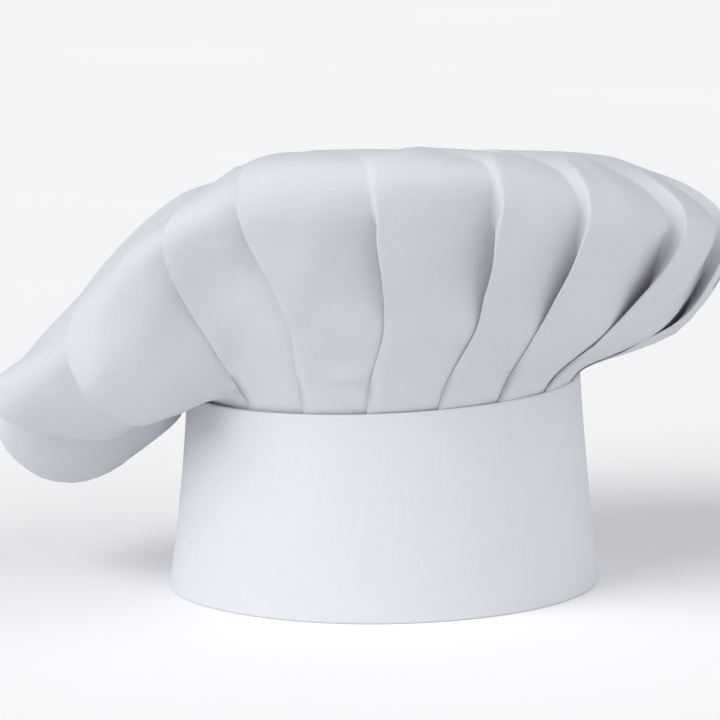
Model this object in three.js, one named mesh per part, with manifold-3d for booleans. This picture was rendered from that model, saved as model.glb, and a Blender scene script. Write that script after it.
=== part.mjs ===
// Soft chef toque: a round cloth crown, knife-pleated into a stiffened head band that
// closes at the back with an overlapping hook-and-loop tab.
// Millimetres, +Z up. The origin is the centre of the head opening at the band's lower
// edge, -Y is the front of the hat and the crown flops towards -X.
import * as THREE from "three";
import { mergeVertices } from "three/addons/utils/BufferGeometryUtils.js";
import Module from "manifold-3d";

const wasm = await Module();
wasm.setup();

const { degToRad, lerp } = THREE.MathUtils;

// ---------------------------------------------------------------- driving dimensions
const RIM_RADIUS = 97.8; // outside of the band at its lower edge
const SEAM_RADIUS = 90; // outside of the band at its upper edge
const FLARE = 1.3; // how the band widens downwards: 1 would be a straight cone
const BAND_HEIGHT = 93;
const PLY = 0.5; // one layer of poplin or of interfacing
const TAPE = 0.8; // hook tape and loop tape
const GAP = 0.3; // air left between neighbouring layers
const CLOTH = 1.2; // crown wall, which stands for the cloth and its folds
const RING_SEGMENTS = 60;
const WALL_STEPS = 4; // pieces that a curved wall is drawn in, from rim to seam

// insets of the band's layers from its outer face
const STIFFENER_INSET = PLY + GAP;
const COLLAR_INSET = STIFFENER_INSET + PLY + GAP;
const COLLAR_THICKNESS = 1;
const LINING_INSET = COLLAR_INSET + COLLAR_THICKNESS + GAP;
const BAND_THICKNESS = LINING_INSET + PLY;

// the lap between the sewn-down pleats and the loose crown, on two spheres round one centre
const LAP_RADIUS = 94;
const LAP_CLEARANCE = 3.5;
const LAP_SHOULDER = degToRad(4);
const LAP_TOP = degToRad(19.5);
const CROWN_EDGE = degToRad(5);
const APEX = new THREE.Vector3(-33, 0, 198); // where the middle of the cloth lies

// the closure at the back
const TAB_ROOT = 107; // azimuth of the tab's bend line, degrees
const TAB_WIDTH = 32; // degrees round the band
const TAB_LOW = 5;
const TAB_HIGH = 86;
const ROOT_WIDTH = 6; // degrees of the tab that are sewn flat on the band
const BEND = 0.2; // degrees left free on each side of the bend line
const SLIT_WIDTH = 1.2;

// ---------------------------------------------------------------- materials
const poplin = new THREE.MeshStandardMaterial({ color: 0xe9eaf0, roughness: 0.85, metalness: 0 });
const interfacing = new THREE.MeshStandardMaterial({ color: 0xf2f1ec, roughness: 0.95, metalness: 0 });
const thread = new THREE.MeshStandardMaterial({ color: 0xf4f4f6, roughness: 0.6, metalness: 0 });
const tape = new THREE.MeshStandardMaterial({ color: 0xededed, roughness: 0.9, metalness: 0 });
const satin = new THREE.MeshStandardMaterial({ color: 0xf7f7f5, roughness: 0.4, metalness: 0 });

// ---------------------------------------------------------------- helpers
// Outside radius of the band at a height.
const bandRadius = (z) =>
  SEAM_RADIUS + (RIM_RADIUS - SEAM_RADIUS) * Math.max(1 - z / BAND_HEIGHT, 0) ** FLARE;

// A point (inset from the band's outer face, height) as a lathe point.
const onBand = (inset, z) => new THREE.Vector2(bandRadius(z) - inset, z);

// A line that follows the band's flare from one height to another.
function alongBand(inset, from, to) {
  const line = [];
  for (let i = 0; i <= WALL_STEPS; i++) line.push(onBand(inset, lerp(from, to, i / WALL_STEPS)));
  return line;
}

// A ring from a closed outline of (radius, height), whose last point joins its first.
function ring(outline) {
  const closed = [...outline, outline[0].clone()];
  return new THREE.LatheGeometry(closed, RING_SEGMENTS).rotateX(Math.PI / 2);
}

function solidOf(geometry) {
  const plain = geometry.clone().deleteAttribute("normal").deleteAttribute("uv");
  const merged = mergeVertices(plain, 1e-3);
  return new wasm.Manifold(
    new wasm.Mesh({
      numProp: 3,
      vertProperties: merged.attributes.position.array,
      triVerts: new Uint32Array(merged.index.array),
    }),
  );
}

function geometryOf(solid) {
  const made = solid.getMesh();
  const geometry = new THREE.BufferGeometry();
  geometry.setAttribute("position", new THREE.BufferAttribute(made.vertProperties, 3));
  geometry.setIndex(new THREE.BufferAttribute(made.triVerts, 1));
  return geometry;
}

// The two ends of the band meet beside the tab's bend line, as a slit from rim to seam.
function withSlit(geometry) {
  const cutter = new THREE.BoxGeometry(5 * BAND_THICKNESS, SLIT_WIDTH, 3 * BAND_HEIGHT);
  const slitAngle = degToRad(TAB_ROOT) + SLIT_WIDTH / RIM_RADIUS;
  cutter.translate(RIM_RADIUS - 1.5 * BAND_THICKNESS, 0, 0).rotateZ(slitAngle);
  return geometryOf(solidOf(geometry).subtract(solidOf(cutter)));
}

// A curved plate that lies on the band between two azimuths (degrees) and two heights.
function bandPlate({ from, to, low, high, inset, thickness }) {
  const outer = RIM_RADIUS - inset;
  const sector = new THREE.Shape();
  sector.absarc(0, 0, outer, degToRad(from), degToRad(to), false);
  sector.absarc(0, 0, outer - thickness, degToRad(to), degToRad(from), true);
  const settings = { depth: high - low, steps: WALL_STEPS, bevelEnabled: false, curveSegments: 8 };
  const plate = new THREE.ExtrudeGeometry(sector, settings).translate(0, 0, low);
  const position = plate.attributes.position;
  const point = new THREE.Vector3();
  for (let i = 0; i < position.count; i++) {
    point.fromBufferAttribute(position, i);
    const radius = Math.hypot(point.x, point.y);
    const flared = (radius - RIM_RADIUS + bandRadius(point.z)) / radius;
    position.setXY(i, point.x * flared, point.y * flared);
  }
  return plate;
}

function part(name, geometry, material) {
  const mesh = new THREE.Mesh(geometry, material);
  mesh.name = name;
  return mesh;
}

// ---------------------------------------------------------------- band
// The outer ply is turned in at the rim, under the other layers, and at the seam.
function bandOuter() {
  const turnIn = STIFFENER_INSET + PLY;
  const outline = [
    ...alongBand(0, 0, BAND_HEIGHT),
    onBand(turnIn, BAND_HEIGHT),
    onBand(turnIn, BAND_HEIGHT - PLY),
    ...alongBand(PLY, BAND_HEIGHT - PLY, PLY),
    onBand(BAND_THICKNESS, PLY),
    onBand(BAND_THICKNESS, 0),
  ];
  return part("band_outer", withSlit(ring(outline)), poplin);
}

// A plain inner layer of the band.
function bandLayer(inset, low, high) {
  return withSlit(ring([...alongBand(inset, low, high), ...alongBand(inset + PLY, high, low)]));
}

const bandStiffener = () =>
  part("band_stiffener", bandLayer(STIFFENER_INSET, PLY + GAP, BAND_HEIGHT - PLY - GAP), interfacing);

const bandLining = () => part("band_lining", bandLayer(LINING_INSET, PLY + GAP, BAND_HEIGHT - 3), poplin);

// A stitch line round the inside of the lining, as one bead of thread.
function stitchLine(name, z) {
  const bead = 0.3;
  const sides = 6;
  const centre = onBand(BAND_THICKNESS + GAP + bead, z);
  const outline = [];
  for (let i = 0; i < sides; i++) {
    const turn = (i / sides) * 2 * Math.PI;
    outline.push(new THREE.Vector2(Math.cos(turn), Math.sin(turn)).multiplyScalar(bead).add(centre));
  }
  return part(name, withSlit(ring(outline)), thread);
}

// ---------------------------------------------------------------- crown
// A point on a sphere round the lap's centre, as (radius, height).
const onSphere = (radius, elevation) =>
  new THREE.Vector2(radius * Math.cos(elevation), BAND_HEIGHT + radius * Math.sin(elevation));

// The sewn-down foot of the pleats: held in the seam below, a zone of a sphere above.
function pleatCollar() {
  const foot = BAND_HEIGHT - 13;
  const waist = BAND_HEIGHT + 1;
  const inner = COLLAR_INSET + COLLAR_THICKNESS;
  const zone = [];
  for (let i = 0; i <= WALL_STEPS; i++) zone.push(lerp(LAP_SHOULDER, LAP_TOP, i / WALL_STEPS));
  const outline = [
    onBand(inner, foot),
    onBand(COLLAR_INSET, foot),
    onBand(COLLAR_INSET, waist),
    ...zone.map((elevation) => onSphere(LAP_RADIUS, elevation)),
    ...zone.reverse().map((elevation) => onSphere(LAP_RADIUS - COLLAR_THICKNESS, elevation)),
    onBand(inner, waist),
  ];
  return part("pleat_collar", ring(outline), poplin);
}

// Half outlines of the crown from its lower edge to its apex, as (distance from the
// axis, height), each in a direction in degrees from the front, + to the right.
const FRONT = [[108, 122], [126, 146], [142, 168], [151, 186], [150, 198], [138, 206], [110, 207], [60, 203]];
const FRONT_LEFT = [[112, 123], [129, 143], [144, 162], [150, 176], [144, 188], [124, 196], [90, 201], [48, 201]];
const LOBE_FRONT = [
  [121, 103], [136, 107], [149, 115], [158, 123], [160, 133], [152, 145], [135, 159], [110, 173], [76, 187], [40, 195],
];
const LOBE_EDGE = [
  [104, 95], [118, 90], [136, 89], [156, 93], [171, 99], [171, 107], [157, 121], [134, 142], [106, 166], [72, 186],
];
const LOBE = [
  [102, 91], [108, 72], [118, 60], [130, 52], [146, 48], [160, 52], [169, 64], [174, 78], [171, 94], [156, 117],
  [131, 142], [104, 166], [72, 185],
];
const LOBE_BACK = [
  [103, 95], [114, 88], [128, 84], [143, 87], [154, 97], [155, 112], [144, 130], [124, 149], [99, 166], [68, 181],
];
const BACK_LEFT = [[114, 109], [131, 119], [143, 133], [146, 148], [139, 161], [120, 173], [92, 182], [48, 191]];
const BACK = [[115, 114], [132, 128], [144, 143], [147, 157], [140, 169], [122, 178], [94, 186], [50, 192]];
const RIGHT = [[115, 110], [136, 119], [149, 132], [156, 146], [157, 158], [152, 170], [120, 188], [90, 194]];
const RIGHT_FRONT = [
  [115, 118], [136, 137], [155, 157], [163, 169], [162, 180], [151, 189], [130, 196], [100, 200], [50, 201],
];
const DIRECTIONS = [
  [-100, LOBE],
  [-81, LOBE_EDGE],
  [-62, LOBE_FRONT],
  [-40, FRONT_LEFT],
  [-20, FRONT],
  [20, FRONT],
  [53, RIGHT_FRONT],
  [90, RIGHT],
  [135, BACK],
  [180, BACK],
  [218, BACK_LEFT],
  [240, LOBE_BACK],
];
const CROWN_RINGS = 20;

// One half outline as a curve in space. The axis that its distances are taken from
// leaves the band's centre only near the top, where it leans over to the apex.
function halfOutline([direction, points]) {
  const lowerEdge = onSphere(LAP_RADIUS + LAP_CLEARANCE, CROWN_EDGE).toArray();
  const turn = degToRad(direction);
  const placed = [lowerEdge, ...points].map(([distance, height], i) => {
    const axis = APEX.x * (i / (points.length + 1)) ** 4;
    return new THREE.Vector3(axis + distance * Math.sin(turn), -distance * Math.cos(turn), height);
  });
  return new THREE.CatmullRomCurve3([...placed, APEX.clone()]);
}

// The outside of the crown: rings through the half outlines, from the lower edge up.
function crownSkin() {
  const outlines = DIRECTIONS.map(halfOutline);
  const points = [];
  for (let row = 0; row < CROWN_RINGS; row++) {
    const keys = outlines.map((outline) => outline.getPointAt(row / CROWN_RINGS));
    const around = new THREE.CatmullRomCurve3(keys, true);
    for (let i = 0; i < RING_SEGMENTS; i++) points.push(around.getPoint(i / RING_SEGMENTS));
  }
  points.push(APEX.clone());
  const faces = [];
  for (let row = 0; row < CROWN_RINGS; row++) {
    for (let i = 0; i < RING_SEGMENTS; i++) {
      const a = row * RING_SEGMENTS + i;
      const b = row * RING_SEGMENTS + ((i + 1) % RING_SEGMENTS);
      if (row === CROWN_RINGS - 1) faces.push(a, b, points.length - 1);
      else faces.push(a, b, b + RING_SEGMENTS, a, b + RING_SEGMENTS, a + RING_SEGMENTS);
    }
  }
  const skin = new THREE.BufferGeometry().setFromPoints(points).setIndex(faces);
  skin.computeVertexNormals();
  return skin;
}

// The crown as a closed shell: the skin, a copy of it moved in by the cloth's thickness
// and turned inside out, and a strip that joins the two round the lower edge.
function crown() {
  const skin = crownSkin();
  const outside = skin.attributes.position;
  const normal = skin.attributes.normal;
  const count = outside.count;
  const points = [];
  for (let i = 0; i < count; i++) points.push(new THREE.Vector3().fromBufferAttribute(outside, i));
  for (let i = 0; i < count; i++) {
    const inward = new THREE.Vector3().fromBufferAttribute(normal, i).multiplyScalar(-CLOTH);
    points.push(inward.add(points[i]));
  }
  const faces = [...skin.index.array];
  for (let i = 0; i < skin.index.count; i += 3) {
    const [a, b, c] = skin.index.array.slice(i, i + 3);
    faces.push(count + a, count + c, count + b);
  }
  for (let i = 0; i < RING_SEGMENTS; i++) {
    const next = (i + 1) % RING_SEGMENTS;
    faces.push(i, count + next, next, i, count + i, count + next);
  }
  return part("crown", new THREE.BufferGeometry().setFromPoints(points).setIndex(faces), poplin);
}

// ---------------------------------------------------------------- closure at the back
const TAB_END = TAB_ROOT - TAB_WIDTH;
const LOOP_INSET = -GAP - TAPE;
const HOOK_INSET = LOOP_INSET - GAP - TAPE;
const BACKING_INSET = HOOK_INSET - GAP - PLY;
const TAB_STIFFENER_INSET = BACKING_INSET - GAP - PLY;
const FACE_INSET = TAB_STIFFENER_INSET - GAP - PLY;

// The end of the tab that is sewn flat on the band, beside the slit.
function tabRoot() {
  const from = TAB_ROOT + BEND;
  const plate = { from, to: from + ROOT_WIDTH, low: TAB_LOW, high: TAB_HIGH };
  return part("tab_root", bandPlate({ ...plate, inset: FACE_INSET, thickness: -FACE_INSET - GAP }), poplin);
}

function loopTape() {
  const plate = { from: TAB_END + 3, to: TAB_ROOT - 4, low: 28, high: 68 };
  return part("loop_tape", bandPlate({ ...plate, inset: LOOP_INSET, thickness: TAPE }), tape);
}

function closureTab() {
  const plate = { from: TAB_END, to: TAB_ROOT - BEND, low: TAB_LOW, high: TAB_HIGH, thickness: PLY };
  const hook = { from: TAB_END + 2, to: TAB_ROOT - 12, low: 32, high: 64, thickness: TAPE };
  return [
    part("tab_face", bandPlate({ ...plate, inset: FACE_INSET }), poplin),
    part("tab_stiffener", bandPlate({ ...plate, inset: TAB_STIFFENER_INSET }), interfacing),
    part("tab_backing", bandPlate({ ...plate, inset: BACKING_INSET }), poplin),
    part("hook_tape", bandPlate({ ...hook, inset: HOOK_INSET }), tape),
  ];
}

// ---------------------------------------------------------------- inside of the band
// A blank woven label that hangs from the crown seam, just clear of the lining.
function careLabel() {
  const size = { width: 24, height: 20, thickness: 0.4 };
  const azimuth = degToRad(60);
  const top = BAND_HEIGHT - 9;
  const geometry = new THREE.BoxGeometry(size.thickness, size.width, size.height);
  geometry.translate(0, 0, -size.height / 2);
  const label = part("care_label", geometry, satin);
  const radius = bandRadius(top) - BAND_THICKNESS - 2;
  label.position.set(radius * Math.cos(azimuth), radius * Math.sin(azimuth), top);
  label.rotation.z = azimuth;
  return label;
}

// ---------------------------------------------------------------- assembly
const band = new THREE.Group();
band.add(bandOuter(), bandStiffener(), bandLining(), pleatCollar(), tabRoot(), loopTape());
band.add(stitchLine("crown_seam_thread", BAND_HEIGHT - 7), stitchLine("hem_thread", TAB_LOW));

const toque = new THREE.Group();
toque.add(band, crown(), ...closureTab(), careLabel());

export default toque;
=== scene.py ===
"""Looks of the chef toque: pleated poplin crown, stiff head band and its closure at the back.

Metres, +Z up, -Y is the front of the hat and the crown flops towards -X.
"""

import math

import bmesh
import bpy
import numpy as np
from mathutils import Matrix, Vector


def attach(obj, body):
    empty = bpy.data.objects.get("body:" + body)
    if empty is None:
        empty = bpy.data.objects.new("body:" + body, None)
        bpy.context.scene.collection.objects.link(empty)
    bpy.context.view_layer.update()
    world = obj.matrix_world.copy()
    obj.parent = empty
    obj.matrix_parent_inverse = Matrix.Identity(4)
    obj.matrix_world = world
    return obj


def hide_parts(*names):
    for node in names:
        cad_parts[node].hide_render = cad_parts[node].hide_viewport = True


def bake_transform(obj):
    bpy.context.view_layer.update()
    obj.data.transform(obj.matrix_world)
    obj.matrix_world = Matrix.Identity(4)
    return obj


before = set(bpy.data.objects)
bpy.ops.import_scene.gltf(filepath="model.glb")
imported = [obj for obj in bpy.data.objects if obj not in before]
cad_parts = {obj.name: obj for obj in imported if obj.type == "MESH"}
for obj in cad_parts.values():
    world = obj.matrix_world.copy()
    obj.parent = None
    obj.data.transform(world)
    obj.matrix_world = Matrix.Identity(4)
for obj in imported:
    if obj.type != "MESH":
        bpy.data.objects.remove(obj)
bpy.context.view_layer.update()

MM = 0.001

# -------------------- driving sizes (mm)
RIM_RADIUS = 97.8  # outside of the band at its lower edge
SEAM_RADIUS = 90.0  # outside of the band at its upper edge
FLARE = 1.3  # how the band widens downwards: 1 is a straight cone
BAND_HEIGHT = 93.0
BAND_TILT = 2.6  # the upper edge stands this much higher on the right than in the middle
PLY = 0.4  # thickness of the band's cloth
TURN_IN = 1.5  # inset of the seam allowance, which is turned in round the stiffener
SLOT_INSET = 2.7  # the crown cloth stands this far inside the band's outer face
LINING_INSET = 3.2
SLIT = 197.7  # direction of the band's open ends, degrees from the front
SLIT_WIDTH = 1.2
HEM = 12.0  # cloth turned in at the rim and at the seam
HEM_STITCH = 5.0  # heights of the two rows of stitches
SEAM_STITCH = 86.0
RIM_BULGE = 2.0  # the rim bulges this much at the left
BULGE_DIRECTION = -78.0
BULGE_WIDTH = 26.0  # degrees
WAVE = 0.35  # gentle unevenness of the stiffened cloth
WAVES_ROUND = 3
WAVE_PHASE = 0.7
WAVE_RISE = 21.0  # mm of height to a radian of the unevenness
INTERFACING_INSET = 0.85
INTERFACING_THICKNESS = 0.4
INTERFACING_LOW = 1.4  # the interfacing stops short of the rim and of the seam
INTERFACING_SHORT = 1.2
LINING_THICKNESS = 0.3
LINING_FOLD = 0.3  # radius of the fold at the lining's lower edge
LINING_BOTTOM = 1.6  # height of that fold's middle
LINING_LOW = 2.2  # the lining runs straight from here
LINING_TURN = 9.0  # height that the turned-up edge reaches
LINING_SHORT = 3.0  # the lining stops this far below the band's upper edge
LINING_CUT = 6.0  # declared cut length beyond the band's height
LINING_AREA_CUT = 5.0  # the same, for the declared area
FOOT = 11.0  # cloth sewn into the band, below its upper edge
CLOTH_RADIUS = 308.0  # the crown is a disc of cloth
CLOTH_THICKNESS = 0.38
PLEATS = 19
FRONT_PLEAT = -5.0  # degrees from the front, of the pleat nearest to it
APEX = (-65.0, 0.0, 186.0)  # where the middle of the disc lies


# -------------------- curves
def smoothstep(low, high, value):
    t = np.clip((value - low) / (high - low), 0.0, 1.0)
    return t * t * (3.0 - 2.0 * t)


def catmull_rom(knots, values, at):
    """Smooth curve through values at knots (both rising), read at the points in at."""
    knots = np.asarray(knots, float)
    values = np.asarray(values, float)
    slopes = np.empty_like(values)
    slopes[1:-1] = (values[2:] - values[:-2]) / (knots[2:] - knots[:-2])[:, None]
    slopes[0] = (values[1] - values[0]) / (knots[1] - knots[0])
    slopes[-1] = (values[-1] - values[-2]) / (knots[-1] - knots[-2])
    i = np.clip(np.searchsorted(knots, at, side="right") - 1, 0, len(knots) - 2)
    width = (knots[i + 1] - knots[i])[:, None]
    t = ((at - knots[i]) / (knots[i + 1] - knots[i]))[:, None]
    h00 = 2 * t**3 - 3 * t**2 + 1
    h10 = t**3 - 2 * t**2 + t
    h01 = -2 * t**3 + 3 * t**2
    h11 = t**3 - t**2
    return h00 * values[i] + h10 * width * slopes[i] + h01 * values[i + 1] + h11 * width * slopes[i + 1]


def length_along(points):
    """Length of a path in the plane from its start to each of its points."""
    return np.concatenate([[0.0], np.cumsum(np.hypot(*np.diff(points, axis=0).T))])


def normals_of(line):
    """Unit normals of a path in the plane."""
    tangent = np.gradient(line, axis=0)
    tangent /= np.hypot(*tangent.T)[:, None]
    return np.stack([-tangent[:, 1], tangent[:, 0]], axis=1)


def outline(points, shares):
    """A smooth outline through (radius, height) points, read at shares of its length."""
    points = np.asarray(points, float)
    steps = np.hypot(*np.diff(points, axis=0).T)
    knots = np.concatenate([[0.0], np.cumsum(np.sqrt(steps))])
    fine = catmull_rom(knots, points, np.linspace(0, knots[-1], 600))
    length = length_along(fine)
    return np.stack([np.interp(shares * length[-1], length, fine[:, i]) for i in (0, 1)], axis=1)


# -------------------- crown: its unpleated shape
# Outlines from the seam to the middle of the cloth, in half planes through a leaning axis:
# (distance from the axis, height), by the direction in degrees from the front, + to the right.
START = (SEAM_RADIUS - SLOT_INSET, BAND_HEIGHT - 2)
FRONT = [START, (90.6, 97), (97, 107), (107, 120.5), (124, 143), (138, 164), (147, 183), (149.5, 198),
         (144, 208.5), (130, 212.5), (105, 210.5), (58, 200), (0, APEX[2])]
FRONT_LEFT = [START, (90.6, 96.5), (98, 107), (112, 123), (129, 143), (143.5, 161), (149, 174), (144, 184),
              (130, 190), (108, 195), (70, 196), (34, 191), (0, APEX[2])]
LOBE_FRONT = [START, (91.3, 94), (96, 90.5), (104, 87), (113, 86), (123, 88), (137, 93.5), (150, 103),
              (158.5, 116), (158, 130), (149, 145), (133, 159), (108, 174), (75, 185), (40, 188),
              (0, APEX[2])]
LOBE_EDGE = [START, (90.8, 94), (93.5, 90), (97, 84.5), (104, 81), (116, 79.5), (136, 79), (156, 82.6),
             (170, 89.5), (172, 99), (157, 118), (133, 141), (105, 166), (71, 182), (36, 186), (0, APEX[2])]
LOBE = [START, (89.5, 95), (91.8, 93.5), (92.4, 87), (93, 80), (96, 73.5), (104, 66), (117, 56.5),
        (130, 48), (146, 43.5), (162, 47), (177, 62), (178.5, 79), (170.5, 92), (151, 112), (128, 141),
        (102, 166), (71, 181), (36, 185), (0, APEX[2])]
LOBE_BACK = [START, (91, 95), (97, 94), (108, 88), (124, 84), (142, 86), (154, 97), (155, 112), (144, 130),
             (124, 150), (99, 167), (68, 178), (36, 184), (0, APEX[2])]
BACK_LEFT = [START, (90.6, 97), (99, 103), (114, 109), (131, 119), (143, 133), (146, 148), (139, 160),
             (120, 170), (92, 177), (48, 183), (0, APEX[2])]
BACK = [START, (90.6, 97), (99, 105), (115, 114), (132, 128), (144, 143), (147, 156), (140, 167),
        (122, 174), (94, 178), (50, 183), (0, APEX[2])]
RIGHT = [START, (90.6, 97), (96, 101), (115, 106), (136, 116), (149, 130), (156, 145), (157, 157),
         (152, 168), (141, 178), (120, 187), (90, 192), (45, 192), (0, APEX[2])]
RIGHT_FRONT = [START, (90.6, 97), (98, 105), (115, 118), (136, 137), (154, 156), (163, 170), (163, 180),
               (157, 188), (141, 197.5), (115, 205), (62, 201), (0, APEX[2])]
DIRECTIONS = {-100: LOBE, -81: LOBE_EDGE, -62: LOBE_FRONT, -40: FRONT_LEFT, -20: FRONT, 20: FRONT,
              53: RIGHT_FRONT, 90: RIGHT, 135: BACK, 180: BACK, 218: BACK_LEFT, 240: LOBE_BACK, 260: LOBE}
AXIS_SHIFT = 6.0  # the axis stays over the band for most of the way and reaches the apex late


class Body:
    """The crown's unpleated shape: a point for a direction (degrees) and a share of the way up."""

    def __init__(self, rings):
        self.shares = rings
        keys = sorted(DIRECTIONS)
        tables = np.stack([outline(DIRECTIONS[k], np.clip(rings, 0, 1)) for k in keys])
        # three turns of the key directions make the curve round the hat close smoothly
        turns = np.concatenate([np.array(keys[:-1]) + turn for turn in (-360, 0, 360)])
        stack = np.concatenate([tables[:-1]] * 3)
        self.angles = np.linspace(-180.0, 180.0, 1441)
        flat = stack.reshape(len(turns), -1)
        self.table = catmull_rom(turns, flat, self.angles).reshape(len(self.angles), len(rings), 2)

    def points(self, ring, degrees):
        wrapped = (np.asarray(degrees) + 180.0) % 360.0 - 180.0
        radius = np.interp(wrapped, self.angles, self.table[:, ring, 0])
        height = np.interp(wrapped, self.angles, self.table[:, ring, 1])
        turn = np.radians(wrapped)
        share = min(max(self.shares[ring], 0.0), 1.0)
        axis = APEX[0] * share**AXIS_SHIFT
        return np.stack([axis + radius * np.sin(turn), -radius * np.cos(turn), height], axis=1)


# -------------------- crown: pleats
# Degrees by which a pleat drifts to the right half way up the side and at the crest, by its
# direction at the seam: the front pleats hang straighter than the rest.
DRIFT = {-180: (0, 0), -100: (0, 0), -62: (2, -1), -43: (2, 4), -24: (3.8, -1.5), -5: (5.5, 3.5),
         14: (5, 4), 33: (0, 0), 52: (0, 0), 180: (0, 0)}
# One pleat is a panel, an inner fold, a return layer and an outer fold.
PANEL_COLUMNS = 11
FOLD_COLUMNS = 5
RETURN_COLUMNS = 3
PLEAT_COLUMNS = PANEL_COLUMNS + RETURN_COLUMNS + 2 * FOLD_COLUMNS
STEP_COLUMN = PANEL_COLUMNS + FOLD_COLUMNS + RETURN_COLUMNS // 2
# How a pleat changes on the way up, by shares of that way.
OPENING = (0.16, 0.60)  # the return layer turns from flat under the panel to nearly level with it
OPENED = 0.96  # share of the half turn by which it opens
FOLD_CLOTH = 0.75  # mm of cloth in a fold at the seam
FOLD_GROWTH = 1.6  # mm more where the folds are softest
FOLD_SOFT = (0.0, 0.42)
EXCESS = 3.0  # cloth beyond the room it fills, as a share of that room
EXCESS_LEFT = 0.015  # what remains of it at the top
EXCESS_FADE = (-0.1, 0.60)
RELIEF_FADE = (0.48, 0.70)  # the folds' standing out ends here
STEP_SHARE = 0.8  # share of an open pleat's step by which its columns move along


def pleat_section(width, room, turn, fold):
    """Cross-section of one pleat: where its columns lie (along, outward) and in the cloth.

    width is the cloth in the pleat, room the distance it fills, turn the angle that the return
    layer makes with the panel and fold the cloth in each of its two folds.
    """
    turn = max(turn, 1e-3)
    both = 2 * fold
    spare = width - both - room + both * math.sin(turn) / turn
    back = max(spare / (1 - math.cos(turn)), 0.02 * width)
    panel = max(width - both - back, 0.1 * width)
    lengths = (panel, fold, back, fold)
    counts = (PANEL_COLUMNS, FOLD_COLUMNS, RETURN_COLUMNS, FOLD_COLUMNS)
    starts = (0.0, 0.0, turn, turn)
    ends = (0.0, turn, turn, 0.0)
    along = [0.0]
    outward = [0.0]
    cloth = [0.0]
    for length, count, start, end in zip(lengths, counts, starts, ends):
        for i in range(count):
            angle = start + (end - start) * (i + 0.5) / count
            along.append(along[-1] + math.cos(angle) * length / count)
            outward.append(outward[-1] + math.sin(angle) * length / count)
            cloth.append(cloth[-1] + length / count)
    along = np.array(along)
    outward = np.array(outward)
    cloth = np.array(cloth)
    outward -= along * outward[-1] / along[-1]  # the panel slopes down under the next pleat
    return along[:-1] * room / along[-1], outward[:-1], cloth[:-1] / cloth[-1]


def crown_rings():
    """Shares of the way up: close together at the seam, where the pleats are sharp."""
    foot = np.linspace(-FOOT, -1.5, 4) / CLOTH_RADIUS
    near = np.linspace(0.0, 0.12, 14)[:-1]
    far = np.linspace(0.12, 0.975, 50)
    return np.concatenate([foot, near, far])


def fold_direction(pleat, share):
    """Direction of a pleat's fold edge at a share of the way up, in degrees from the front."""
    even = FRONT_PLEAT + pleat * 360.0 / PLEATS
    wrapped = (even + 180.0) % 360.0 - 180.0
    sewn = even + 2.0 * smoothstep(0, 18, wrapped) * (1 - smoothstep(60, 100, wrapped))
    middle, top = catmull_rom(sorted(DRIFT), [DRIFT[key] for key in sorted(DRIFT)], np.array([wrapped]))[0]
    return sewn + middle * smoothstep(0.0, 0.2, share) + (top - middle) * smoothstep(0.2, 0.5, share)


def relief_at(direction):
    """The folds of the flopped side stand out more, those of the right side less."""
    flopped = math.exp(-(((direction + 82.0) / 26.0) ** 2))
    right = math.exp(-(((direction - 76.0) / 30.0) ** 2))
    return 1 + 0.7 * flopped - 0.55 * right


# Creases of the flopped side, where cloth hangs over the cloth below it:
# (direction, height in mm, degrees over which it rises, first share, last share).
CREASES = ((-81.0, 9.0, 19.0, 0.08, 0.38), (-60.0, 8.0, 18.0, 0.08, 0.33), (-92.0, 2.5, 9.0, 0.12, 0.32))
CREASE_DROP = 2.0  # degrees over which a crease drops again, on its other side
CREASE_END = 0.08  # share of the way up over which a crease fades at both its ends


def creased(direction, share):
    """How far the creases lift the cloth at directions (degrees) and a share of the way up."""
    lift = np.zeros(len(direction))
    for at, height, width, low, high in CREASES:
        past = np.asarray(direction) - at
        ramp = np.clip(np.minimum(1 - past / width, 1 + past / CREASE_DROP), 0, 1)
        ends = smoothstep(low, low + CREASE_END, share) * (1 - smoothstep(high - CREASE_END, high, share))
        lift += height * ramp * ends
    return lift


# Soft wrinkles: (direction, share of the way up, tilt from upright in degrees, half length, half
# width and height in mm). The first is the sideways one over the seam, left of the front pleat.
WRINKLES = [(-9.5, 0.08, 80.0, 9.0, 3.2, 2.0), (-14.0, 0.30, 20.0, 30.0, 7.0, 1.3)]
WRINKLES += [(8.0, 0.24, -12.0, 34.0, 8.0, 1.2), (27.0, 0.36, 10.0, 26.0, 6.0, 1.2)]
WRINKLES += [(float(at), 0.27, 14.0, 40.0, 3.6, 1.3) for at in range(66, 96, 7)]  # fine ones on the right
SCATTERED = 34  # more wrinkles, spread over the whole crown
WRINKLE_RADIUS = 130.0  # mm; turns a wrinkle's distance in degrees into one along the cloth


def all_wrinkles():
    rng = np.random.default_rng(7)
    low = (-180.0, 0.10, -38.0, 14.0, 4.0, -1.8)
    high = (180.0, 0.62, 38.0, 42.0, 10.0, 1.8)
    return WRINKLES + [tuple(rng.uniform(low, high)) for i in range(SCATTERED)]


def wrinkled(direction, share, wrinkles):
    """How far the wrinkles lift the cloth at directions (degrees) and a share of the way up."""
    lift = np.zeros(len(direction))
    for at, up, tilt, half_length, half_width, height in wrinkles:
        aside = ((direction - at + 180.0) % 360.0 - 180.0) * math.radians(1) * WRINKLE_RADIUS
        rise = (share - up) * CLOTH_RADIUS
        turn = math.radians(tilt)
        along = rise * math.cos(turn) + aside * math.sin(turn)
        across = aside * math.cos(turn) - rise * math.sin(turn)
        lift += height * np.exp(-((along / half_length) ** 4) - (across / half_width) ** 2)
    return lift


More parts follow.
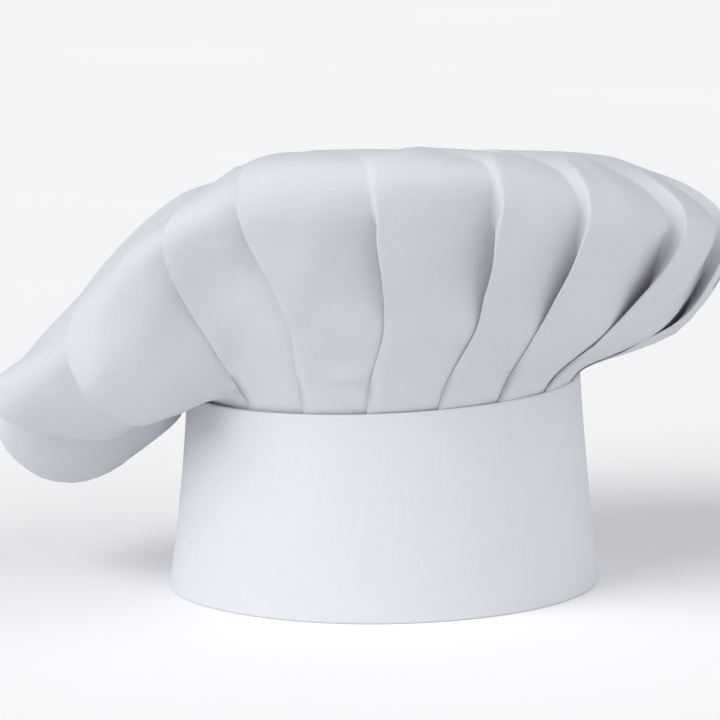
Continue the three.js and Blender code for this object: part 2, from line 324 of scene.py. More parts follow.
def pleated_crown():
    """Places of the crown's cloth, ring by ring, and where each point is on the flat disc."""
    rings = crown_rings()
    body = Body(rings)
    wrinkles = all_wrinkles()
    columns = PLEATS * PLEAT_COLUMNS
    grid = np.zeros((len(rings), columns, 3))
    flat = np.zeros((len(rings), columns, 3))
    for ring, share in enumerate(rings):
        up = max(share, 0.0)
        cloth = 2 * math.pi * CLOTH_RADIUS * (1 - share) / PLEATS
        turn = math.pi * (1 - OPENED * smoothstep(*OPENING, up))
        fold = FOLD_CLOTH + FOLD_GROWTH * smoothstep(*FOLD_SOFT, up)
        excess = EXCESS_LEFT + EXCESS * (1 - smoothstep(*EXCESS_FADE, up)) ** 2
        for pleat in range(PLEATS):
            start = fold_direction(pleat, up)
            end = fold_direction(pleat + 1, up)
            way = body.points(ring, np.linspace(start, end, 9))
            room = np.linalg.norm(np.diff(way, axis=0), axis=1).sum()
            width = max(min(cloth, room * (1 + excess)), room * 1.01)
            along, outward, share_of_cloth = pleat_section(width, room, turn, fold)
            step = max(room - along[STEP_COLUMN], 0.0)  # keeps an open pleat's edge on its line
            degrees = start + (end - start) * (along + STEP_SHARE * step) / room
            outward = outward * (1 - smoothstep(*RELIEF_FADE, up)) * relief_at(start)
            outward += creased((degrees + 180.0) % 360.0 - 180.0, up) + wrinkled(degrees, up, wrinkles)
            place = body.points(ring, degrees)
            side = body.points(ring, degrees + 0.5) - body.points(ring, degrees - 0.5)
            if share < 0:
                place[:, 2] += share * CLOTH_RADIUS
                rise = np.array([[0.0, 0.0, 1.0]])
            else:
                above = min(ring + 1, len(rings) - 1)
                below = max(ring - 1, 0)
                rise = body.points(above, degrees) - body.points(below, degrees)
            normal = np.cross(side, rise)
            normal /= np.linalg.norm(normal, axis=1)[:, None]
            span = slice(pleat * PLEAT_COLUMNS, (pleat + 1) * PLEAT_COLUMNS)
            grid[ring, span] = place + normal * outward[:, None]
            turn_of = 2 * math.pi * (pleat + share_of_cloth) / PLEATS
            radius = CLOTH_RADIUS * (1 - share)
            flat[ring, span, 0] = radius * np.sin(turn_of)
            flat[ring, span, 1] = -radius * np.cos(turn_of)
    return rings, grid, flat


def mesh_object(name, vertices, faces, cloth=None):
    """A smooth mesh; cloth gives each vertex its place in the flat cloth, in metres."""
    mesh = bpy.data.meshes.new(name)
    mesh.from_pydata(np.asarray(vertices).tolist(), [], [list(map(int, face)) for face in faces])
    if cloth is not None:
        corners = np.empty(len(mesh.loops), int)
        mesh.loops.foreach_get("vertex_index", corners)
        mesh.uv_layers.new(name="cloth").data.foreach_set("uv", np.asarray(cloth)[corners].ravel())
    mesh.shade_smooth()
    made = bpy.data.objects.new(name, mesh)
    bpy.context.scene.collection.objects.link(made)
    return made


def slab(name, outside, inside, cloth):
    """Closed mesh between two grids of points, joined round their borders."""
    rows, columns = outside.shape[:2]
    count = rows * columns
    index = np.arange(count).reshape(rows, columns)
    sheet = np.stack([index[:-1, :-1], index[:-1, 1:], index[1:, 1:], index[1:, :-1]], axis=-1).reshape(-1, 4)
    rim = np.concatenate([index[0], index[1:, -1], index[-1, -2::-1], index[-2:0:-1, 0]])
    after = np.roll(rim, -1)
    strip = np.stack([rim, rim + count, after + count, after], axis=-1)
    faces = np.concatenate([sheet, sheet[:, ::-1] + count, strip])
    vertices = np.concatenate([outside.reshape(-1, 3), inside.reshape(-1, 3)])
    made = mesh_object(name, vertices, faces, np.tile(cloth.reshape(-1, 2), (2, 1)))
    tidy = bmesh.new()
    tidy.from_mesh(made.data)
    bmesh.ops.remove_doubles(tidy, verts=tidy.verts, dist=1e-6)
    tidy.to_mesh(made.data)
    tidy.free()
    made.data.shade_smooth()
    made.data.set_sharp_from_angle(angle=math.radians(50))
    return made


THINNING = (0.60, 0.80, 0.92)  # shares of the way up at which every other column ends


def thinned(rings):
    """How many columns are left out between two kept ones, ring by ring."""
    return [2 ** sum(share > at for at in THINNING) for share in rings]


def disc_faces(rings, columns):
    """Faces of a polar mesh whose columns thin out towards the middle, and its kept points."""
    step = thinned(rings)
    number = {}
    for ring, share in enumerate(rings):
        for column in range(0, columns, step[ring]):
            number[ring, column] = len(number)
    middle = len(number)
    faces = []
    for ring in range(len(rings) - 1):
        here, above = step[ring], step[ring + 1]
        for column in range(0, columns, above):
            low = [number[ring, (column + i) % columns] for i in range(0, above + 1, here)]
            high = [number[ring + 1, (column + above) % columns], number[ring + 1, column]]
            if len(low) == 2:
                faces.append((*low, *high))
            else:
                faces.append((low[0], low[1], high[1]))
                faces.append((low[1], low[2], *high))
    last = len(rings) - 1
    for column in range(0, columns, step[last]):
        faces.append((number[last, column], number[last, (column + step[last]) % columns], middle))
    return faces, list(number)


def crown_cloth():
    rings, grid, flat = pleated_crown()
    faces, kept = disc_faces(rings, grid.shape[1])
    vertices = [grid[key] * MM for key in kept] + [np.array(APEX) * MM]
    spread = [flat[key] * MM for key in kept] + [np.zeros(3)]
    shares = np.array([rings[ring] for ring, column in kept] + [1.0])
    spread = np.array(spread)[:, :2]
    return mesh_object("crown_cloth", vertices, faces, spread), shares


def apply_modifier(piece, modifier):
    bpy.context.view_layer.objects.active = piece
    bpy.ops.object.modifier_apply(modifier=modifier.name)


def thicken(cloth):
    modifier = cloth.modifiers.new("thickness", "SOLIDIFY")
    modifier.thickness = CLOTH_THICKNESS * MM
    modifier.offset = -1
    apply_modifier(cloth, modifier)


SETTLE_FRAMES = 24
LOOSE_HOLD = 0.2  # how firmly the loose cloth is held to its place; the sewn edge has 1
LOOSENING = (0.004, 0.15)  # shares of the way up between which the hold lets go
RELAXED = (0.42, 0.66)  # shares between which the smoothing sets in


def settle(cloth, shares):
    """Let air pressure fill the pleated cloth, without gravity; the sewn edge holds still."""
    group = cloth.vertex_groups.new(name="held")
    held = 1 - (1 - LOOSE_HOLD) * smoothstep(*LOOSENING, shares)
    for number, weight in enumerate(held):
        group.add([number], float(weight), "REPLACE")
    modifier = cloth.modifiers.new("settle", "CLOTH")
    modifier.point_cache.frame_start = 1
    modifier.point_cache.frame_end = SETTLE_FRAMES
    modifier.collision_settings.use_collision = False
    settings = modifier.settings
    settings.quality = 5
    settings.mass = 0.15
    settings.tension_stiffness = 15
    settings.compression_stiffness = 15
    settings.shear_stiffness = 5
    settings.bending_stiffness = 4.5
    settings.vertex_group_mass = "held"
    settings.pin_stiffness = 0.5
    settings.use_pressure = True
    settings.uniform_pressure_force = 0.3
    settings.effector_weights.gravity = 0.0
    settings.shrink_min = -0.012  # below zero: the cloth grows
    scene = bpy.context.scene
    for step in range(1, SETTLE_FRAMES + 1):
        scene.frame_set(step)
    apply_modifier(cloth, modifier)
    scene.frame_set(1)
    cloth.vertex_groups.clear()


def relax(cloth, shares):
    """Smooth the top, where the pleats have opened out and only faint folds are left."""
    group = cloth.vertex_groups.new(name="opened")
    for number, weight in enumerate(smoothstep(*RELAXED, shares)):
        group.add([number], float(weight), "REPLACE")
    modifier = cloth.modifiers.new("relax", "SMOOTH")
    modifier.factor = 0.5
    modifier.iterations = 30
    modifier.vertex_group = "opened"
    apply_modifier(cloth, modifier)
    cloth.vertex_groups.clear()


# -------------------- band
def band_place(inset, direction, height):
    """Points on the band: inset from its outer face (mm), direction in degrees, height (mm)."""
    inset, direction, height = np.broadcast_arrays(inset, direction, height)
    turn = np.radians(direction)
    radius = SEAM_RADIUS + (RIM_RADIUS - SEAM_RADIUS) * np.clip(1 - height / BAND_HEIGHT, 0, 1) ** FLARE
    slack = 1 - np.clip(height / BAND_HEIGHT, 0, 1)
    radius = radius + RIM_BULGE * np.exp(-(((direction - BULGE_DIRECTION) / BULGE_WIDTH) ** 2)) * slack**3
    radius = radius + WAVE * slack * np.sin(WAVES_ROUND * turn + WAVE_PHASE) * np.sin(height / WAVE_RISE)
    tilted = height * (1 + BAND_TILT * np.sin(turn) / BAND_HEIGHT)
    reach = radius - inset
    return np.stack([reach * np.sin(turn), -reach * np.cos(turn), tilted], axis=-1) * MM


SLIT_HALF = math.degrees(0.5 * SLIT_WIDTH / RIM_RADIUS)
BAND_COLUMNS = 181


def around_band():
    return np.linspace(SLIT - 360 + SLIT_HALF, SLIT - SLIT_HALF, BAND_COLUMNS)


def ply_ring(name, line, thickness):
    """A band of cloth round the hat: line is the middle of its section as (inset, height)."""
    line = np.asarray(line, float)
    normal = normals_of(line)
    directions = around_band()
    sides = []
    for half in (thickness / 2, -thickness / 2):
        side = line + normal * half
        sides.append(band_place(side[:, :1], directions[None, :], side[:, 1:]))
    length = length_along(line)
    across = np.radians(directions) * SEAM_RADIUS
    cloth = np.stack(np.meshgrid(across * MM, length * MM), axis=-1)
    return slab(name, *sides, cloth)


def arc(inset, height, radius, start, end, steps=6):
    """Points on a round fold, by angle in degrees: 0 points to the hat's middle, 90 up."""
    turn = np.radians(np.linspace(start, end, steps))
    return list(zip(inset + radius * np.cos(turn), height + radius * np.sin(turn)))


def straight(inset, low, high, steps):
    return [(inset, height) for height in np.linspace(low, high, steps)]


def outer_ply():
    """The band's cloth, turned in round the stiffener at the rim and at the seam."""
    face = PLY / 2
    fold = (TURN_IN - face) / 2
    line = straight(TURN_IN, HEM, face + fold + 0.5, 3)
    line += arc(face + fold, face + fold, fold, 0, -180)
    line += straight(face, face + fold + 0.8, BAND_HEIGHT - face - fold - 0.8, 18)
    line += arc(face + fold, BAND_HEIGHT - face - fold, fold, 180, 0)
    line += straight(TURN_IN, BAND_HEIGHT - face - fold - 0.5, BAND_HEIGHT - HEM, 3)
    return ply_ring("band_cloth", line, PLY)


def stiffener_ply():
    line = straight(INTERFACING_INSET, INTERFACING_LOW, BAND_HEIGHT - INTERFACING_SHORT, 9)
    return ply_ring("band_interfacing", line, INTERFACING_THICKNESS)


def lining_ply():
    """The inner ply, with its lower edge turned up under itself."""
    line = straight(LINING_INSET - 2 * LINING_FOLD, LINING_TURN, LINING_LOW, 3)
    line += arc(LINING_INSET - LINING_FOLD, LINING_BOTTOM, LINING_FOLD, 180, 360)
    line += straight(LINING_INSET, LINING_LOW, BAND_HEIGHT - LINING_SHORT, 16)
    return ply_ring("band_lining_cloth", line, LINING_THICKNESS)


def stitches(name, starts, ends, outward, radius=0.2):
    """One short bead of thread for each start and end, sunk a little where it enters the cloth."""
    sides = 6
    rings = np.array([0.0, 0.12, 0.5, 0.88, 1.0])
    girth = np.array([0.35, 0.85, 1.0, 0.85, 0.35]) * radius * MM
    lift = np.array([-0.9, 0.1, 0.35, 0.1, -0.9]) * radius * MM
    along = ends - starts
    side = np.cross(along, outward)
    side /= np.linalg.norm(side, axis=1)[:, None]
    turn = np.linspace(0, 2 * math.pi, sides, endpoint=False)
    centre = starts[:, None] + along[:, None] * rings[None, :, None] + outward[:, None] * lift[None, :, None]
    spoke = side[:, None] * np.cos(turn)[None, :, None] + outward[:, None] * np.sin(turn)[None, :, None]
    vertices = centre[:, :, None] + spoke[:, None] * girth[None, :, None, None]
    faces = []
    for stitch in range(len(starts)):
        base = stitch * len(rings) * sides
        for ring in range(len(rings) - 1):
            for i in range(sides):
                after = (i + 1) % sides
                low = base + ring * sides
                faces.append((low + i, low + after, low + sides + after, low + sides + i))
        faces.append([base + i for i in reversed(range(sides))])
        faces.append([base + (len(rings) - 1) * sides + i for i in range(sides)])
    return mesh_object(name, vertices.reshape(-1, 3), faces)


def stitch_path(name, points, outward, step=3.1, gap=0.8):
    """Stitches along a path of close points, all of the same length."""
    length = np.concatenate([[0.0], np.cumsum(np.linalg.norm(np.diff(points, axis=0), axis=1))])
    count = int(length[-1] / (step * MM))
    at = np.arange(count) * step * MM
    reach = (step - gap) * MM

    def read(where, table):
        return np.stack([np.interp(where, length, table[:, i]) for i in range(3)], axis=1)

    facing = read(at + reach / 2, outward)
    facing /= np.linalg.norm(facing, axis=1)[:, None]
    return stitches(name, read(at, points), read(at + reach, points), facing)


def band_normal(direction):
    turn = np.radians(direction)
    return np.stack([np.sin(turn), -np.cos(turn), 0.06 + 0 * turn], axis=-1)


def ring_stitches(name, height, inset):
    directions = np.linspace(SLIT - 357.5, SLIT - 2.5, 721)
    return stitch_path(name, band_place(inset, directions, height), -band_normal(directions))


# -------------------- closure at the back
# Directions of the tab's free edge, of its bend line and of its sewn edge, and its heights.
TAB_FREE = 165.0
TAB_BEND = 197.0
TAB_SEWN = 203.2
TAB_LOW = 5.0
TAB_HIGH = 86.0
TAB_CORNER = 9.0  # radius of the free end's corners
# Insets from the band's outer face; these pieces lie outside it, so they are negative.
TAB_FACE = -4.5
CORE_FACE = -3.85
BACKING_FACE = -3.0
HOOK_FACE = -2.2
HOOK_INNER = -1.45
LOOP_FACE = -0.95
TAB_PLY = 0.45  # thickness of the tab's cloth
CORE = 0.5  # thickness of its interfacing
HOOK_TAPE = 0.6
LOOP_TAPE = 0.65
# Where the tapes lie: directions and heights of their ends and edges.
HOOK_START = 167.0
HOOK_END = 185.0
HOOK_LOW = 32.0
HOOK_HIGH = 64.0
HOOK_PITCH = 1.5
LOOP_START = 168.0
LOOP_END = 193.0
LOOP_LOW = 28.0
LOOP_HIGH = 68.0
STITCH_MARGIN = 3.2
CLOSURE_RADIUS = 93.0
DEGREE = math.radians(1) * CLOSURE_RADIUS  # mm round the closure to a degree


def edge_steps(low, high, count):
    """Positions from low to high that crowd at both ends."""
    return low + (high - low) * (1 - np.cos(np.linspace(0, math.pi, count))) / 2


def plate(name, sides, heights, inset, thickness, corner=0.0, pillow=0.6, wobble=None, rows=33, columns=41):
    """A piece that lies on the band: inset is its outer face, its edges are rounded over.

    sides are the directions of its two ends, heights those of its lower and upper edge.
    """
    start, end = sides
    low, high = heights
    heights = edge_steps(low, high, rows)
    across = edge_steps(0, 1, columns)
    middle = (low + high) / 2
    away = np.maximum(np.abs(heights - middle) - ((high - low) / 2 - corner), 0)
    cut = corner - np.sqrt(np.maximum(corner**2 - away**2, 0)) if corner else np.zeros(rows)
    begin = start + cut / DEGREE
    direction = begin[:, None] + (end - begin[:, None]) * across[None, :]
    height = np.repeat(heights[:, None], columns, axis=1)
    from_side = np.minimum((direction - begin[:, None]) * DEGREE, (end - direction) * DEGREE)
    from_edge = np.minimum(from_side, np.minimum(height - low, high - height))
    near = np.clip(from_edge / pillow, 0, 1)
    full = np.sqrt(np.clip(1 - (1 - near) ** 2, 0, 1))
    centre = inset + thickness / 2
    uneven = 0 if wobble is None else wobble(direction, height) * full
    outside = band_place(centre - full * thickness / 2 - uneven, direction, height)
    inside = band_place(centre + full * thickness / 2, direction, height)
    cloth = np.stack([np.radians(direction) * SEAM_RADIUS, height], axis=-1) * MM
    return slab(name, outside, inside, cloth)


def sewn_dip(direction, height):
    """The cloth sinks by the tab's row of stitches, and swells a little between rows."""
    side = np.minimum((direction - TAB_FREE) * DEGREE, (TAB_SEWN - direction) * DEGREE)
    edge = np.minimum(side, np.minimum(height - TAB_LOW, TAB_HIGH - height))
    return 0.12 - 0.28 * np.exp(-(((edge - STITCH_MARGIN) / 0.9) ** 2))


def tab_stitches():
    """Stitches all round the tab's face, a little inside its edge."""
    margin = STITCH_MARGIN / DEGREE
    radius = TAB_CORNER - STITCH_MARGIN
    left, right = TAB_FREE + margin, TAB_SEWN - margin
    low, high = TAB_LOW + STITCH_MARGIN, TAB_HIGH - STITCH_MARGIN
    turn = np.radians(np.linspace(0, 90, 12))
    bend = radius / DEGREE
    path = [(right, low)]
    path += list(zip(left + bend - bend * np.sin(turn), low + radius - radius * np.cos(turn)))
    path += list(zip(left + bend - bend * np.cos(turn), high - radius + radius * np.sin(turn)))
    path += [(right, high), (right, low)]
    path = np.array(path)
    steps = length_along(path * (DEGREE, 1))
    fine = np.linspace(0, steps[-1], 600)
    direction = np.interp(fine, steps, path[:, 0])
    height = np.interp(fine, steps, path[:, 1])
    path = band_place(TAB_FACE - 0.02, direction, height)
    return stitch_path("tab_topstitching", path, band_normal(direction))


def hook_field():
    """Rows of small nylon hooks on the tape's inner face."""
    rng = np.random.default_rng(4)
    starts = []
    ends = []
    facing = []
    for height in np.arange(HOOK_LOW + HOOK_PITCH, HOOK_HIGH - 1.0, HOOK_PITCH):
        for direction in np.arange(HOOK_START + 1.0, HOOK_END - 0.8, HOOK_PITCH / DEGREE):
            lean = rng.uniform(-0.25, 0.25, 2)
            at = band_place(HOOK_INNER - 0.05, direction, height)
            tip = band_place(HOOK_INNER + 0.2, direction + (0.35 + lean[0]) / DEGREE, height + lean[1])
            starts.append(at)
            ends.append(tip)
            facing.append(np.array([0, 0, 1.0]))
    return stitches("hook_pins", np.array(starts), np.array(ends), np.array(facing), 0.13)


def brushed(direction, height):
    """The loop tape's pile: small tufts, the same every run."""
    round_the_band = np.sin(direction * 31.0 + np.sin(height * 7.3))
    return 0.16 * round_the_band * np.sin(height * 9.1 + np.sin(direction * 17))


LABEL_DIRECTION = 150.0
LABEL_WIDTH = 24.0
LABEL_TOP = 84.0
LABEL_LOW = 64.0
LABEL_RADIUS = 84.97  # distance of the label's middle from the hat's axis
LABEL_FOLD = 0.22  # radius of the fold at its lower edge
LABEL_HALF = 0.09  # half the satin's thickness
LABEL_CURL = 0.004  # how far the hanging label's side edges curl in
LABEL_CURL_WIDTH = 6.0


def care_label():
    """A blank satin strip, folded once at its lower edge and held at its upper edge."""
    turn = math.radians(LABEL_DIRECTION)
    outward = np.array([math.sin(turn), -math.cos(turn), 0])
    across = np.array([math.cos(turn), math.sin(turn), 0])
    fold = LABEL_FOLD
    line = [(fold, z) for z in np.linspace(LABEL_TOP, LABEL_LOW + fold, 12)]
    line += [(fold * math.cos(t), LABEL_LOW + fold - fold * math.sin(t)) for t in np.linspace(0.5, 2.6, 5)]
    line += [(-fold, z) for z in np.linspace(LABEL_LOW + fold, LABEL_TOP, 12)]
    line = np.array(line)
    normal = normals_of(line)
    widths = np.linspace(-LABEL_WIDTH / 2, LABEL_WIDTH / 2, 17)
    sides = []
    for half in (LABEL_HALF, -LABEL_HALF):
        side = line + normal * half
        hang = LABEL_TOP - side[:, 1]
        curl = LABEL_CURL * hang[:, None] * (widths[None, :] / LABEL_CURL_WIDTH) ** 2
        radius = LABEL_RADIUS + side[:, :1] - curl
        point = radius[..., None] * outward + widths[None, :, None] * across
        point = point + side[:, 1][:, None, None] * np.array([0, 0, 1.0])
        sides.append(point * MM)
    length = length_along(line)
    cloth = np.stack(np.meshgrid(widths * MM, length * MM), axis=-1)
    return slab("blank_label", *sides, cloth)


# -------------------- materials
class Nodes:
    """Short hand for building one material's node tree."""

    def __init__(self, name):
        self.material = bpy.data.materials.new(name)
        self.material.use_nodes = True
        self.tree = self.material.node_tree
        self.shader = self.tree.nodes["Principled BSDF"]

    def add(self, kind, **settings):
        node = self.tree.nodes.new(kind)
        for key, value in settings.items():
            setattr(node, key, value)
        return node

    def link(self, source, target):
        self.tree.links.new(source, target)

    def set(self, node, **values):
        for key, value in values.items():
            node.inputs[key.replace("_", " ")].default_value = value

    def place(self, scale, source):
        mapping = self.add("ShaderNodeMapping")
        mapping.inputs["Scale"].default_value = scale
        self.link(source, mapping.inputs["Vector"])
        return mapping.outputs["Vector"]

    def noise(self, vector, scale, detail=2.0, roughness=0.5):
        node = self.add("ShaderNodeTexNoise")
        self.set(node, Scale=scale, Detail=detail, Roughness=roughness)
        self.link(vector, node.inputs["Vector"])
        return node.outputs["Fac"]

    def wave(self, vector, axis, scale):
        node = self.add("ShaderNodeTexWave", bands_direction=axis)
        self.set(node, Scale=scale, Distortion=0.0)
        self.link(vector, node.inputs["Vector"])
        return node.outputs["Fac"]

    def math(self, operation, a, b):
        node = self.add("ShaderNodeMath", operation=operation)
        for slot, value in zip(node.inputs, (a, b)):
            if isinstance(value, (int, float)):
                slot.default_value = value
            else:
                self.link(value, slot)
        return node.outputs["Value"]

    def ramp(self, source, low, high):
        """Two colours by a value; the middle of the value's range makes most of the change."""
        node = self.add("ShaderNodeValToRGB")
        node.color_ramp.elements[0].position = 0.3
        node.color_ramp.elements[1].position = 0.7
        node.color_ramp.elements[0].color = (*low, 1)
        node.color_ramp.elements[1].color = (*high, 1)
        self.link(source, node.inputs["Fac"])
        return node.outputs["Color"]

    def bump(self, height, distance, strength=1.0, below=None):
        node = self.add("ShaderNodeBump")
        self.set(node, Distance=distance, Strength=strength)
        self.link(height, node.inputs["Height"])
        if below is not None:
            self.link(below, node.inputs["Normal"])
        return node.outputs["Normal"]

    def range(self, source, low, high):
        node = self.add("ShaderNodeMapRange")
        node.inputs["To Min"].default_value = low
        node.inputs["To Max"].default_value = high
        self.link(source, node.inputs["Value"])
        return node.outputs["Result"]


def shades(colour, depth):
    """A darker and a lighter neighbour of a colour."""
    return [c * (1 - depth) for c in colour], [min(c * (1 + depth), 1.0) for c in colour]


def poplin(name, colour, threads=2600.0, relief=0.00006):
    """Plain weave: warp and weft cross over and under, with uneven threads and soft creases."""
    n = Nodes(name)
    cloth = n.add("ShaderNodeUVMap", uv_map="cloth").outputs["UV"]
    place = n.add("ShaderNodeTexCoord").outputs["Object"]
    warp = n.wave(cloth, "X", threads / 6.3)
    weft = n.wave(cloth, "Y", threads / 6.3)
    crossing = n.math("MULTIPLY", n.math("SUBTRACT", warp, 0.5), n.math("SUBTRACT", weft, 0.5))
    slub_warp = n.noise(n.place((1400, 40, 1), cloth), 1.0, 3.0)
    slub_weft = n.noise(n.place((40, 1400, 1), cloth), 1.0, 3.0)
    slub = n.math("ADD", slub_warp, slub_weft)
    rumple = n.noise(place, 55.0, 4.0, 0.55)
    crush = n.noise(place, 16.0, 3.0, 0.5)
    low, high = shades(colour, 0.035)
    base = n.ramp(n.math("ADD", n.math("MULTIPLY", slub, 0.35), n.math("MULTIPLY", crush, 0.3)), low, high)
    n.link(base, n.shader.inputs["Base Color"])
    unevenness = n.math("ADD", n.math("MULTIPLY", rumple, 0.5), n.math("MULTIPLY", slub, 0.25))
    n.link(n.range(unevenness, 0.72, 0.95), n.shader.inputs["Roughness"])
    n.set(n.shader, Sheen_Weight=0.08, Sheen_Roughness=0.5, Specular_IOR_Level=0.2)
    soft = n.bump(rumple, 0.0012, 0.35)
    uneven = n.bump(slub, 0.00012, 0.5, soft)
    woven = n.bump(crossing, relief, 0.9, uneven)
    n.link(woven, n.shader.inputs["Normal"])
    return n.material


def interfacing():
    """Bonded fibres: a felted, slightly blotchy sheet."""
    n = Nodes("bonded_interfacing")
    place = n.add("ShaderNodeTexCoord").outputs["Object"]
    fibres = n.noise(n.place((900, 900, 300), place), 1.0, 4.0, 0.7)
    low, high = shades((0.80, 0.79, 0.76), 0.06)
    n.link(n.ramp(fibres, low, high), n.shader.inputs["Base Color"])
    n.set(n.shader, Roughness=0.95, Specular_IOR_Level=0.15)
    n.link(n.bump(fibres, 0.0002, 0.6), n.shader.inputs["Normal"])
    return n.material


def sewing_thread():
    """Twisted polyester: fine slanted ply lines with a soft shine."""
    n = Nodes("sewing_thread")
    place = n.add("ShaderNodeTexCoord").outputs["Object"]
    twist = n.wave(place, "DIAGONAL", 900.0)
    low, high = shades((0.84, 0.85, 0.87), 0.05)
    n.link(n.ramp(twist, low, high), n.shader.inputs["Base Color"])
    n.set(n.shader, Roughness=0.5, Sheen_Weight=0.2, Specular_IOR_Level=0.4)
    n.link(n.bump(twist, 0.00008, 0.6), n.shader.inputs["Normal"])
    return n.material


def tape_material(name, colour, grain, rough):
    """Nylon touch tape: a dense field of small tufts or stems."""
    n = Nodes(name)
    place = n.add("ShaderNodeTexCoord").outputs["Object"]
    tufts = n.add("ShaderNodeTexVoronoi")
    n.set(tufts, Scale=grain)
    n.link(place, tufts.inputs["Vector"])
    fuzz = n.noise(place, grain * 2.5, 3.0, 0.7)
    height = n.math("ADD", tufts.outputs["Distance"], n.math("MULTIPLY", fuzz, 0.6))
    low, high = shades(colour, 0.08)
    n.link(n.ramp(n.math("MULTIPLY", height, 0.6), high, low), n.shader.inputs["Base Color"])
    n.set(n.shader, Roughness=rough, Sheen_Weight=0.35, Specular_IOR_Level=0.3)
    n.link(n.bump(height, 0.0005, 0.8), n.shader.inputs["Normal"])
    return n.material


def label_satin():
    """Woven satin: long floating threads with a gloss, no print."""
    n = Nodes("label_satin")
    cloth = n.add("ShaderNodeUVMap", uv_map="cloth").outputs["UV"]
    floats = n.noise(n.place((3500, 300, 1), cloth), 1.0, 2.0)
    low, high = shades((0.87, 0.87, 0.86), 0.03)
    n.link(n.ramp(floats, low, high), n.shader.inputs["Base Color"])
    n.link(n.range(floats, 0.28, 0.45), n.shader.inputs["Roughness"])
    n.set(n.shader, Sheen_Weight=0.1, Specular_IOR_Level=0.55)
    n.link(n.bump(floats, 0.00006, 0.7), n.shader.inputs["Normal"])
    return n.material


def floor_material():
    """Pale studio floor with a barely visible mottle."""
    n = Nodes("pale_floor")
    place = n.add("ShaderNodeTexCoord").outputs["Object"]
    low, high = shades((0.93, 0.93, 0.93), 0.01)
    n.link(n.ramp(n.noise(place, 3.0, 2.0), low, high), n.shader.inputs["Base Color"])
    n.set(n.shader, Roughness=0.9, Specular_IOR_Level=0.1)
    return n.material


# -------------------- studio
WORLD_LIGHT = 0.42
KEY_LIGHT = 2.3
FILL_LIGHT = 1.3
KEY_FROM = (-57, 34)  # azimuth and elevation in degrees
FILL_FROM = (62, 24)
KEY_SOFTNESS = 50  # degrees that the light fills in the sky
FILL_SOFTNESS = 80
CAMERA_DISTANCE = 2.4
CAMERA_ELEVATION = math.radians(9.5)
CAMERA_ROLL = math.radians(-0.9)
VIEW_WIDTH = 0.3288
VIEW_CENTRE = Vector((-0.0105, 0.0, 0.1022))


def aim(thing, target, roll=0.0):
    direction = Vector(target) - thing.location
    turn = direction.to_track_quat("-Z", "Y")
    thing.rotation_euler = (turn.to_matrix() @ Matrix.Rotation(roll, 3, "Z")).to_euler()


def soft_sun(name, azimuth, elevation, strength, softness):
    """Light from far away, from an azimuth in degrees from the front, + to the right."""
    light = bpy.data.lights.new(name, "SUN")
    light.energy = strength
    light.angle = math.radians(softness)
    lamp = bpy.data.objects.new(name, light)
    bpy.context.scene.collection.objects.link(lamp)
    turn = math.radians(azimuth)
    rise = math.radians(elevation)
    level = 2 * math.cos(rise)
    lamp.location = (level * math.sin(turn), -level * math.cos(turn), 2 * math.sin(rise))
    aim(lamp, (0, 0, 0))


def studio():
    floor = mesh_object("floor", [(-6, -6, 0), (6, -6, 0), (6, 6, 0), (-6, 6, 0)], [(0, 1, 2, 3)])
    floor.data.materials.append(floor_material())
    world = bpy.data.worlds.new("studio")
    bpy.context.scene.world = world
    bpy.context.scene.view_settings.view_transform = "Standard"
    world.use_nodes = True
    world.node_tree.nodes["Background"].inputs["Color"].default_value = (0.94, 0.96, 1, 1)
    world.node_tree.nodes["Background"].inputs["Strength"].default_value = WORLD_LIGHT
    soft_sun("key", *KEY_FROM, KEY_LIGHT, KEY_SOFTNESS)
    soft_sun("fill", *FILL_FROM, FILL_LIGHT, FILL_SOFTNESS)


def place_camera():
    """A long lens, a little above the band, with the rim's centre below the picture's middle."""
    data = bpy.data.cameras.new("camera")
    data.sensor_width = 36
    data.lens = data.sensor_width * CAMERA_DISTANCE / VIEW_WIDTH
    camera = bpy.data.objects.new("camera", data)
    bpy.context.scene.collection.objects.link(camera)
    bpy.context.scene.camera = camera
    back = Vector((0, -math.cos(CAMERA_ELEVATION), math.sin(CAMERA_ELEVATION)))
    camera.location = VIEW_CENTRE + back * CAMERA_DISTANCE
    aim(camera, VIEW_CENTRE, CAMERA_ROLL)


# -------------------- assembly
def finish_piece(piece, material, body=None, replaced=()):
    piece.data.materials.append(material)
    if replaced:
        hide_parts(*replaced)
    if body:
        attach(piece, body)
    return piece


def cloth_places(piece):
    """Each vertex's place in the flat cloth, in metres."""
    corners = np.empty(len(piece.data.loops), int)
    piece.data.loops.foreach_get("vertex_index", corners)
    places = np.empty(2 * len(corners))
    piece.data.uv_layers["cloth"].data.foreach_get("uv", places)
    result = np.zeros((len(piece.data.vertices), 2))
    result[corners] = places.reshape(-1, 2)
    return result


POPLIN_COLOUR = (0.64, 0.645, 0.688)
SHADED_CROWN_COLOUR = (0.605, 0.61, 0.652)  # the same cloth, set a little darker than the band: painted shade for the single ply over the hollow crown
outer_poplin = poplin("poplin", POPLIN_COLOUR)
# the crown's darker copy of the poplin: painted shade
shaded_crown_poplin = poplin("shaded_crown_poplin", SHADED_CROWN_COLOUR)
lining_poplin = poplin("lining_poplin", (0.76, 0.77, 0.785), 2300.0)
felt = interfacing()
thread = sewing_thread()
hook_nylon = tape_material("hook_nylon", (0.80, 0.80, 0.80), 700.0, 0.55)
loop_nylon = tape_material("loop_nylon", (0.83, 0.83, 0.83), 450.0, 0.9)


def declare_sheet(width, length, area=None):
    """Work out the area of a piece of cloth from its cut size in millimetres; nothing is done with it."""
    area = width * length if area is None else area


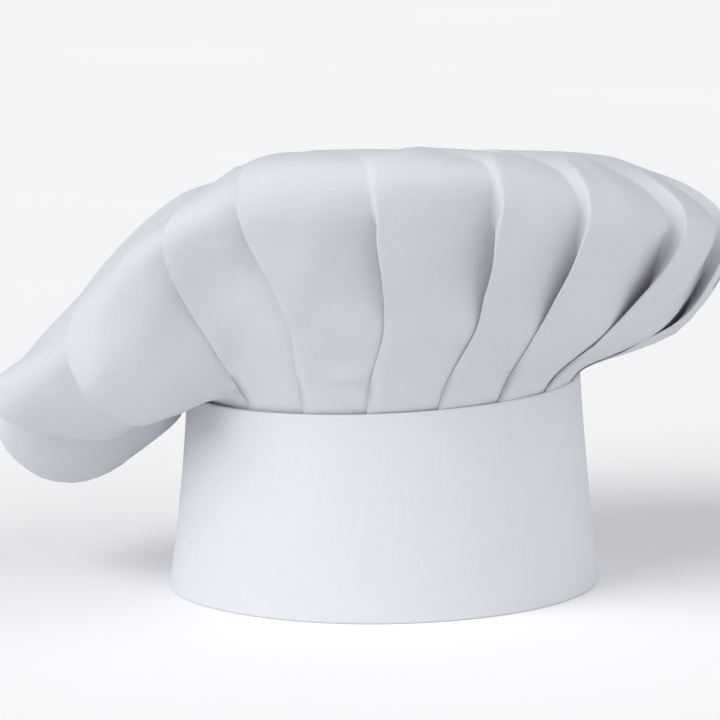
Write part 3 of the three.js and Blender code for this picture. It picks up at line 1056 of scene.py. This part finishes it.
# band: each ply is cut as an arc of a ring, so its area is its middle's length by its height
BAND_MIDDLE = math.pi * (RIM_RADIUS + SEAM_RADIUS)
BAND_CUT = 2 * math.pi * RIM_RADIUS
band_cloth = finish_piece(outer_ply(), outer_poplin, "band", ["band_outer"])
declare_sheet(BAND_CUT, BAND_HEIGHT + 2 * HEM, BAND_MIDDLE * (BAND_HEIGHT + 2 * HEM))
band_felt = finish_piece(stiffener_ply(), felt, "band", ["band_stiffener"])
felt_height = BAND_HEIGHT - (INTERFACING_LOW + INTERFACING_SHORT)
declare_sheet(BAND_CUT, felt_height, BAND_MIDDLE * felt_height)
band_lining = finish_piece(lining_ply(), lining_poplin, "band", ["band_lining"])
lining_area = BAND_MIDDLE * (BAND_HEIGHT + LINING_AREA_CUT)
declare_sheet(BAND_CUT, BAND_HEIGHT + LINING_CUT, lining_area)
finish_piece(ring_stitches("hem_stitches", HEM_STITCH, LINING_INSET + 0.2), thread, "band",
             ["hem_thread"])
finish_piece(ring_stitches("seam_stitches", SEAM_STITCH, LINING_INSET + 0.2), thread, "band",
             ["crown_seam_thread"])

# closure
tab = plate("tab_cloth", (TAB_FREE, TAB_SEWN), (TAB_LOW, TAB_HIGH), TAB_FACE, TAB_PLY, TAB_CORNER, 0.8,
            sewn_dip, 61, 81)
finish_piece(tab, outer_poplin, None, ["tab_face", "tab_root"])
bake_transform(tab)
TAB_HEIGHT = TAB_HIGH - TAB_LOW
tab_length = (TAB_SEWN - TAB_FREE) * DEGREE
declare_sheet(tab_length, TAB_HEIGHT)
backing = plate("tab_backing_cloth", (TAB_FREE + 0.2, TAB_BEND - 0.4), (TAB_LOW + 0.4, TAB_HIGH - 0.4),
                BACKING_FACE, TAB_PLY, TAB_CORNER)
finish_piece(backing, lining_poplin, "closure_tab", ["tab_backing"])
free_length = (TAB_BEND - TAB_FREE) * DEGREE
declare_sheet(free_length, TAB_HEIGHT)
core = plate("tab_interfacing", (TAB_FREE + 0.5, TAB_BEND - 0.8), (TAB_LOW + 0.8, TAB_HIGH - 0.8),
             CORE_FACE, CORE, TAB_CORNER)
finish_piece(core, felt, "closure_tab", ["tab_stiffener"])
declare_sheet(free_length, TAB_HEIGHT)
hooks = plate("hook_strip", (HOOK_START, HOOK_END), (HOOK_LOW, HOOK_HIGH), HOOK_FACE, HOOK_TAPE)
finish_piece(hooks, hook_nylon, "closure_tab", ["hook_tape"])
finish_piece(hook_field(), hook_nylon, "closure_tab")
loops = plate("loop_strip", (LOOP_START, LOOP_END), (LOOP_LOW, LOOP_HIGH), LOOP_FACE, LOOP_TAPE,
              wobble=brushed, rows=81, columns=81)
finish_piece(loops, loop_nylon, "band", ["loop_tape"])
stitched = tab_stitches()
finish_piece(stitched, thread)
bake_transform(stitched)

# label
label = finish_piece(care_label(), label_satin(), "care_label", ["care_label"])
label_length = 2 * (LABEL_TOP - LABEL_LOW)
declare_sheet(LABEL_WIDTH, label_length)

# crown
crown, shares = crown_cloth()
settle(crown, shares)
relax(crown, shares)
thicken(crown)
finish_piece(crown, shaded_crown_poplin, None, ["crown", "pleat_collar"])
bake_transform(crown)
from_middle = np.hypot(*cloth_places(crown).T) / (CLOTH_RADIUS * MM)
declare_sheet(2 * CLOTH_RADIUS, 2 * CLOTH_RADIUS, math.pi * CLOTH_RADIUS**2)

studio()
place_camera()
